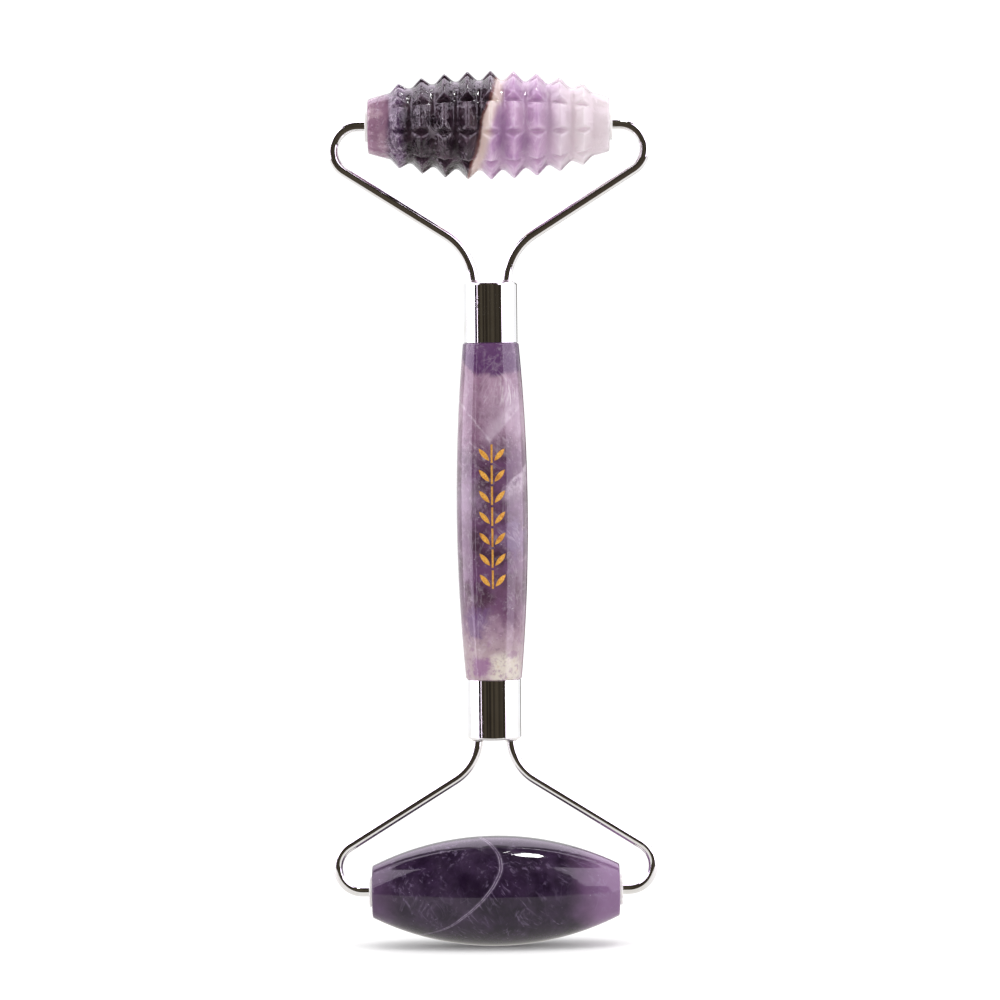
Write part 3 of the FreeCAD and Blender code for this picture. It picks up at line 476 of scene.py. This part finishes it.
def textured_amethyst():
    """The toothed stone; distances along it are in millimetres from its middle."""
    axle = 63.66 * MM
    seam_lean = -0.30
    left_end, left_ring, right_end = (-13.5, -17.5), (-17.0, -16.0, -13.2, -14.6), (7.5, 15.0)
    made, tree, shader, place = new_material("textured_amethyst")
    along, _, height = axes_of(tree, place)
    rise = sum_up(tree, "SUBTRACT", height, axle)
    growth = use_group(tree, CRYSTAL_GROWTH, {"Place": place, "Veil Size": 5.0 * MM,
                                              "Wisp Size": 3.0 * MM})
    drift = sum_up(tree, "SUBTRACT", cloud(tree, place, 5.0 * MM, 4.0, 0.55, 0.3), 0.5)
    seam = sum_up(tree, "MULTIPLY_ADD", rise, seam_lean, along)
    seam = sum_up(tree, "MULTIPLY_ADD", drift, 2.0 * MM, seam)
    end_fade = sum_up(tree, "MULTIPLY_ADD", drift, 3.0 * MM, along)

    def between(low, high):
        """0 to 1 from one distance along the stone to another."""
        return mask(tree, end_fade, low * MM, high * MM)

    # the dark side, with its mauve end
    dark = tint(tree, mask(tree, cloud(tree, place, 3.5 * MM, 5.0), 0.4, 0.7),
                rgb(30, 17, 27), rgb(64, 46, 58))
    dark = lay(tree, dark, growth.outputs["Feather"], 0.42, rgb(136, 118, 134))
    dark = tint(tree, between(*left_end), dark, rgb(140, 106, 128))
    pale_end = mask(tree, cloud(tree, place, 2.0 * MM, 4.0), 0.48, 0.7)
    pale_end = both(tree, pale_end, between(-15.5, -18.5))
    dark = lay(tree, dark, pale_end, 0.6, rgb(198, 176, 184))

    # the ring next to that end: dark violet stone whose light flecks are painted glitter
    ring = both(tree, between(*left_ring[:2]), between(*left_ring[2:]))
    ring_mottle_and_glints = mask(tree, cloud(tree, place, 0.9 * MM, 5.0, 0.7), 0.46, 0.64)
    ring_mottle_and_glints = tint(tree, ring_mottle_and_glints, rgb(66, 44, 74), rgb(160, 142, 164))
    dark = tint(tree, both(tree, ring, 0.8), dark, ring_mottle_and_glints)

    # the lilac side
    lilac = tint(tree, mask(tree, cloud(tree, place, 4.0 * MM, 5.0), 0.35, 0.65),
                 rgb(160, 122, 162), rgb(184, 150, 182))
    lilac = lay(tree, lilac, growth.outputs["Veil"], 0.4, rgb(210, 188, 204))
    lilac = tint(tree, between(*right_end), lilac, rgb(214, 200, 206))

    # the milky seam with its rusty edge
    colour = tint(tree, mask(tree, seam, 0.0 * MM, 1.6 * MM), rgb(216, 196, 190), lilac)
    colour = tint(tree, mask(tree, seam, -0.5 * MM, -1.0 * MM), colour, rgb(112, 72, 70))
    colour = tint(tree, mask(tree, seam, -0.9 * MM, -1.5 * MM), colour, dark)
    colour = lay(tree, colour, growth.outputs["Wisp"], 0.3, rgb(222, 208, 220))

    # painted light in the grooves of the lilac side, lifting their shade, and tooth edges whitened partly by
    # frost and partly by painted highlights
    edge = add(tree, "NewGeometry").outputs["Pointiness"]
    painted_groove_light = both(tree, mask(tree, edge, 0.49, 0.42), mask(tree, seam, 0.0, 2.0 * MM))
    colour = lay(tree, colour, painted_groove_light, 0.45, rgb(240, 222, 238))
    # convex tooth edges lightened: tumbling frost, plus painted highlights along the ridges
    frost_and_ridge_highlight = both(tree, mask(tree, edge, 0.53, 0.60),
                   mask(tree, cloud(tree, place, 0.6 * MM, 4.0, 0.7), 0.36, 0.62))
    colour = lay(tree, colour, frost_and_ridge_highlight, 0.26, rgb(208, 190, 210))
    tree.links.new(colour, shader.inputs["Base Color"])
    quartz_body(shader)
    shader.inputs["Subsurface Weight"].default_value = 0.9
    shader.inputs["Subsurface Scale"].default_value = 6.0 * MM
    shader.inputs["Subsurface Radius"].default_value = (1.0, 1.0, 1.0)
    shader.inputs["Transmission Weight"].default_value = 0.14
    shader.inputs["Specular IOR Level"].default_value = 0.42

    # chips, most of them on the dark side
    flake_size = 0.7 * MM
    flakes = add(tree, "TexVoronoi", {"Vector": place, "Scale": 1.0 / flake_size}).outputs["Color"]
    flaked = mask(tree, cloud(tree, place, 2.2 * MM, 3.0), 0.46, 0.62)
    near_left = sum_up(tree, "MULTIPLY_ADD", mask(tree, along, 4.0 * MM, -14.0 * MM), 0.8, 0.2)
    chips = both(tree, both(tree, flaked, near_left), axes_of(tree, flakes)[0])
    polish(tree, shader, place, 0.06, 0.08, 0.10, 0.05 * MM, both(tree, chips, 4.0))
    return made


def worn_teeth():
    """A copy of the cut roller whose edges are rounded by the tumbling barrel."""
    merge_distance = 0.002 * MM
    skin_spacing = 0.20 * MM
    bpy.ops.object.select_all(action="DESELECT")
    cut = nodes["textured_roller"]
    cut.select_set(True)
    bpy.context.view_layer.objects.active = cut
    bpy.ops.object.duplicate()
    stone = bpy.context.object
    stone.name = "tumbled_textured_stone"
    stone.data.name = "tumbled_textured_stone"
    bpy.ops.object.mode_set(mode="EDIT")
    bpy.ops.mesh.select_all(action="SELECT")
    bpy.ops.mesh.remove_doubles(threshold=merge_distance)
    bpy.ops.object.mode_set(mode="OBJECT")
    grown = stone.modifiers.new("even_skin", "REMESH")
    grown.mode = "VOXEL"
    grown.voxel_size = skin_spacing
    grown.use_smooth_shade = True
    bpy.ops.object.modifier_apply(modifier=grown.name)
    soft = stone.modifiers.new("tumbling", "SMOOTH")
    soft.factor = 0.5
    soft.iterations = 3
    bpy.ops.object.modifier_apply(modifier=soft.name)
    stone.data.materials.clear()
    stone.data.materials.append(textured_amethyst())
    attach(stone, "textured_roller")
    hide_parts("textured_roller")


worn_teeth()


# ---- the smooth roller -------------------------------------------------------------------------
# The darkest stone of the set: deep violet with lighter ends, silvery feathers and one healed
# crack that crosses it in a long curve.

def smooth_amethyst():
    """The barrel stone; distances along it are in millimetres from its middle."""
    axle = -63.0 * MM
    crown = 9.0
    crack_left, crack_span = -16.5, 20.0
    # share of the height, share of the crack's span
    crack_curve = ((0.11, 0.195), (0.194, 0.405), (0.328, 0.58), (0.489, 0.73), (0.622, 0.82),
                   (0.80, 0.866), (0.95, 0.78))
    made, tree, shader, place = new_material("smooth_amethyst")
    along, _, height = axes_of(tree, place)
    rise = sum_up(tree, "SUBTRACT", height, axle)
    growth = use_group(tree, CRYSTAL_GROWTH, {"Place": place, "Veil Size": 6.0 * MM,
                                              "Wisp Size": 4.0 * MM})
    drift = sum_up(tree, "SUBTRACT", cloud(tree, place, 6.0 * MM, 4.0, 0.55, 0.3), 0.5)

    colour = tint(tree, mask(tree, cloud(tree, place, 4.0 * MM, 6.0), 0.35, 0.7),
                  rgb(25, 12, 32), rgb(50, 34, 58))
    colour = lay(tree, colour, growth.outputs["Veil"], 0.15, rgb(92, 76, 98))
    ends = sum_up(tree, "ADD", sum_up(tree, "ABSOLUTE", along), both(tree, drift, 5.0 * MM))
    colour = lay(tree, colour, mask(tree, ends, 14.5 * MM, 21.0 * MM), 0.30, rgb(128, 96, 134))
    right_end = sum_up(tree, "MULTIPLY_ADD", drift, 5.0 * MM, along)
    colour = lay(tree, colour, mask(tree, right_end, 11.0 * MM, 18.0 * MM), 0.85, rgb(132, 100, 136))
    for growing, share, paint in (("Feather", 0.42, rgb(142, 124, 154)), ("Wisp", 0.10, rgb(140, 124, 156)),
                                  ("Speck", 0.35, rgb(170, 158, 184))):
        colour = lay(tree, colour, growth.outputs[growing], share, paint)

    # the healed crack: its place along the roller is a curve of the height above the axle
    level = sum_up(tree, "MULTIPLY_ADD", rise, 1.0 / (2 * crown * MM), 0.5, clamp=True)
    bend = add(tree, "FloatCurve", {"Value": level})
    curve = bend.mapping.curves[0]
    for position, across in crack_curve:
        curve.points.new(position, across)
    curve.points[0].location = (0.0, 0.0)
    curve.points[-1].location = (1.0, 0.70)
    bend.mapping.update()
    crack_place = sum_up(tree, "MULTIPLY_ADD", bend.outputs[0], crack_span * MM, crack_left * MM)
    offset = sum_up(tree, "MULTIPLY_ADD", drift, 0.5 * MM, sum_up(tree, "SUBTRACT", along, crack_place))
    offset = sum_up(tree, "ABSOLUTE", offset)
    colour = lay(tree, colour, mask(tree, offset, 0.65 * MM, 0.1 * MM), 0.34, rgb(124, 108, 132))
    lip = sum_up(tree, "ABSOLUTE", sum_up(tree, "SUBTRACT", offset, 0.2 * MM))
    broken = mask(tree, cloud(tree, place, 1.1 * MM, 5.0, 0.75), 0.36, 0.60)
    line = both(tree, mask(tree, lip, 0.12 * MM, 0.01 * MM), broken)
    colour = lay(tree, colour, line, 0.62, rgb(170, 158, 176))
    tree.links.new(colour, shader.inputs["Base Color"])
    quartz_body(shader)
    shader.inputs["Specular IOR Level"].default_value = 0.36
    polish(tree, shader, place, 0.02, 0.04, 0.10, 0.010 * MM)
    return made


give_finish("smooth_roller", smooth_amethyst())


# ---- the flanged bushes ------------------------------------------------------------------------
# Four moulded nylon bushes pressed into the stones, milky and slightly see-through, each bored
# to run on its wire pin.

def milky_nylon():
    made, tree, shader, place = new_material("milky_nylon")
    flow = cloud(tree, place, 1.2 * MM, 3.0)
    colour = tint(tree, mask(tree, flow, 0.35, 0.7), rgb(250, 248, 246), rgb(238, 234, 231))
    tree.links.new(colour, shader.inputs["Base Color"])
    shader.inputs["Subsurface Weight"].default_value = 0.3
    shader.inputs["Subsurface Scale"].default_value = 1.0 * MM
    shader.inputs["Subsurface Radius"].default_value = (1.0, 1.0, 1.0)
    tree.links.new(sum_up(tree, "MULTIPLY_ADD", flow, 0.2, 0.25), shader.inputs["Roughness"])
    bump = add(tree, "Bump", {"Height": flow, "Strength": 1.0, "Distance": 0.03 * MM})
    tree.links.new(bump.outputs[0], shader.inputs["Normal"])
    return made


NYLON = milky_nylon()
for roller in ("textured", "smooth"):
    for side in ("left", "right"):
        give_finish(f"{roller}_{side}_bush", NYLON)


# ---- the studio --------------------------------------------------------------------------------
# A white tabletop under a broad soft lamp, with a small lamp for the glint on the smooth stone.
# The chrome and the polished stones mirror a dark room between two lit side panels.

def studio_world():
    """What the bright and polished pieces mirror. Bearings run from the camera's side, right
    positive, and both bearings and climbs are in degrees. All else is lit by even white."""
    even_white = (1.10, 1.10, 1.10, 1)
    paper_white, panel_glow = (1.08, 1.08, 1.08, 1), (3.5, 3.05, 3.7, 1)
    wall_dark, wall_light = (0.024, 0.019, 0.014, 1), (0.078, 0.064, 0.044, 1)
    door_black, floor_brown = (0.004, 0.004, 0.004, 1), (0.070, 0.055, 0.040, 1)
    right_panel_share, back_light_share, slit_share = 0.78, 0.7, 0.9
    world = bpy.data.worlds.new("studio")
    bpy.context.scene.world = world
    world.use_nodes = True
    tree = world.node_tree
    background = tree.nodes["Background"]
    direction = add(tree, "TexCoord").outputs["Generated"]
    right, away, up = axes_of(tree, direction)
    bearing = sum_up(tree, "ARCTAN2", right, sum_up(tree, "MULTIPLY", away, -1.0))
    climb = sum_up(tree, "ARCSINE", up)
    turned_away = sum_up(tree, "ABSOLUTE", bearing)

    def band(value, low, high, soft):
        """1 between two angles, with soft edges."""
        low, high, soft = (math.radians(angle) for angle in (low, high, soft))
        return both(tree, mask(tree, value, low - soft, low + soft),
                    mask(tree, value, high + soft, high - soft))

    def either(first, second):
        return sum_up(tree, "MAXIMUM", first, second)

    # the dark room on the camera's side, with a slit of light by its left door
    low_room = both(tree, band(bearing, -70, 50, 0.8), band(climb, -95, 14, 1.5))
    high_room = both(tree, band(bearing, -59, 39, 0.8), band(climb, 12, 95, 1.5))
    slit = both(tree, band(bearing, -58.5, -56.5, 0.3), slit_share)
    room = both(tree, either(low_room, high_room), sum_up(tree, "SUBTRACT", 1.0, slit))

    # the floor in front, a pillar behind and the ceiling, which reaches lower at the back
    below = both(tree, band(bearing, -128, 128, 2.0), band(climb, -95, -13, 1.0))
    pillar = both(tree, band(bearing, 152, 171, 0.6), band(climb, -40, 22, 4.0))
    behind = mask(tree, turned_away, math.radians(100), math.radians(165))
    ceiling_climb = sum_up(tree, "MULTIPLY_ADD", behind, math.radians(-15), climb)
    ceiling = band(ceiling_climb, 56, 100, 0.8)
    dark_part = either(either(room, below), either(pillar, ceiling))

    furniture = cloud(tree, shifted(tree, direction, stretch=(3.0, 3.0, 0.5)), 0.7, 3.0, 0.6)
    walls = tint(tree, mask(tree, furniture, 0.4, 0.65), wall_dark, wall_light)
    walls = tint(tree, band(bearing, -75, -59.5, 0.3), walls, door_black)
    walls = tint(tree, band(climb, -95, -14, 1.0), walls, floor_brown)

    # a lit panel on each side, and a weaker light high up behind
    panels = either(band(bearing, -118, -54, 2.0), both(tree, band(bearing, 39, 118, 2.0), right_panel_share))
    panels = both(tree, panels, band(climb, -13, 66, 1.5))
    back_light = both(tree, mask(tree, turned_away, math.radians(122), math.radians(130)),
                      band(climb, 28, 80, 8.0))
    panels = either(panels, both(tree, back_light, back_light_share))
    white = tint(tree, panels, paper_white, panel_glow)
    mirrored = tint(tree, dark_part, white, walls)
    glossy_ray = add(tree, "LightPath").outputs["Is Glossy Ray"]
    tree.links.new(tint(tree, glossy_ray, even_white, mirrored), background.inputs["Color"])
    background.inputs["Strength"].default_value = 1.0


studio_world()


def soft_lamp(name, place, aim, size, power):
    """A round area lamp; place, aim and size in metres, power in watts."""
    lamp = bpy.data.lights.new(name, "AREA")
    lamp.shape = "DISK"
    lamp.size = size
    lamp.energy = power
    made = bpy.data.objects.new(name, lamp)
    bpy.context.scene.collection.objects.link(made)
    made.location = place
    made.rotation_euler = (Vector(aim) - Vector(place)).to_track_quat("-Z", "Y").to_euler()
    return made


HANDLE_MIDDLE = (0, 0, 0)
glint = soft_lamp("overhead_lamp", place=(0.154, -0.012, 0.75), aim=HANDLE_MIDDLE, size=0.15, power=3.0)
glint.visible_diffuse = False
broad = soft_lamp("broad_lamp", place=(0.05, -0.10, 0.75), aim=HANDLE_MIDDLE, size=0.60, power=2.4)
broad.visible_glossy = False


def white_table():
    """The tabletop that the smooth roller stands on."""
    width = 8.0
    fibre_size = 2.0 * MM
    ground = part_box("smooth_roller")[0].z
    bpy.ops.object.select_all(action="DESELECT")
    bpy.ops.mesh.primitive_plane_add(size=width, location=(0, 0, ground))
    table = bpy.context.object
    table.name = "white_table"
    made, tree, shader, place = new_material("table_paper")
    fibres = cloud(tree, place, fibre_size, 3.0)
    paper = tint(tree, fibres, (0.90, 0.90, 0.90, 1), (0.94, 0.94, 0.94, 1))
    tree.links.new(paper, shader.inputs["Base Color"])
    shader.inputs["Roughness"].default_value = 0.9
    shader.inputs["Emission Color"].default_value = (1, 1, 1, 1)
    shader.inputs["Emission Strength"].default_value = 0.04
    table.data.materials.append(made)
    table.visible_glossy = False


white_table()


def grey_card():
    """A glowing strip standing in for warm grey paper on the tabletop; it is seen only in what the smooth
    stone and the wires mirror.
    """
    length, depth, centre = 1.2, 0.30, 0.08
    cloud_size = 30.0 * MM
    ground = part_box("smooth_roller")[0].z
    bpy.ops.object.select_all(action="DESELECT")
    bpy.ops.mesh.primitive_plane_add(size=1.0, location=(0, centre, ground))
    card = bpy.context.object
    card.name = "grey_card"
    bpy.ops.transform.resize(value=(length, depth, 1.0))
    bpy.ops.object.transform_apply(location=False, rotation=False, scale=True)
    made, tree, shader, place = new_material("grey_card")
    paper = cloud(tree, place, cloud_size, 3.0)
    glow = tint(tree, paper, (0.80, 0.78, 0.74, 1), (0.92, 0.90, 0.86, 1))
    tree.links.new(glow, shader.inputs["Emission Color"])
    shader.inputs["Base Color"].default_value = (0, 0, 0, 1)
    shader.inputs["Emission Strength"].default_value = 1.0
    card.data.materials.append(made)
    card.visible_camera = False
    card.visible_diffuse = False
    card.visible_shadow = False
    card.visible_transmission = False


grey_card()


# ---- the camera --------------------------------------------------------------------------------
# Level with the upper part of the handle, a long lens looking slightly down.

def set_camera():
    distance = 0.8
    frame_width = 165.3 * MM
    across, eye_height, aim_height = 1.3 * MM, 29.5 * MM, 1.8 * MM
    lean_degrees = -0.57
    lens = bpy.data.cameras.new("camera")
    lens.lens = lens.sensor_width * distance / frame_width
    camera = bpy.data.objects.new("camera", lens)
    bpy.context.scene.collection.objects.link(camera)
    camera.location = (across, -distance, eye_height)
    look = (Vector((across, 0, aim_height)) - camera.location).to_track_quat("-Z", "Y")
    lean = Matrix.Rotation(math.radians(lean_degrees), 4, "Z")
    camera.matrix_world = Matrix.Translation(camera.location) @ look.to_matrix().to_4x4() @ lean
    bpy.context.scene.camera = camera


set_camera()
bpy.context.scene.view_settings.view_transform = "Standard"
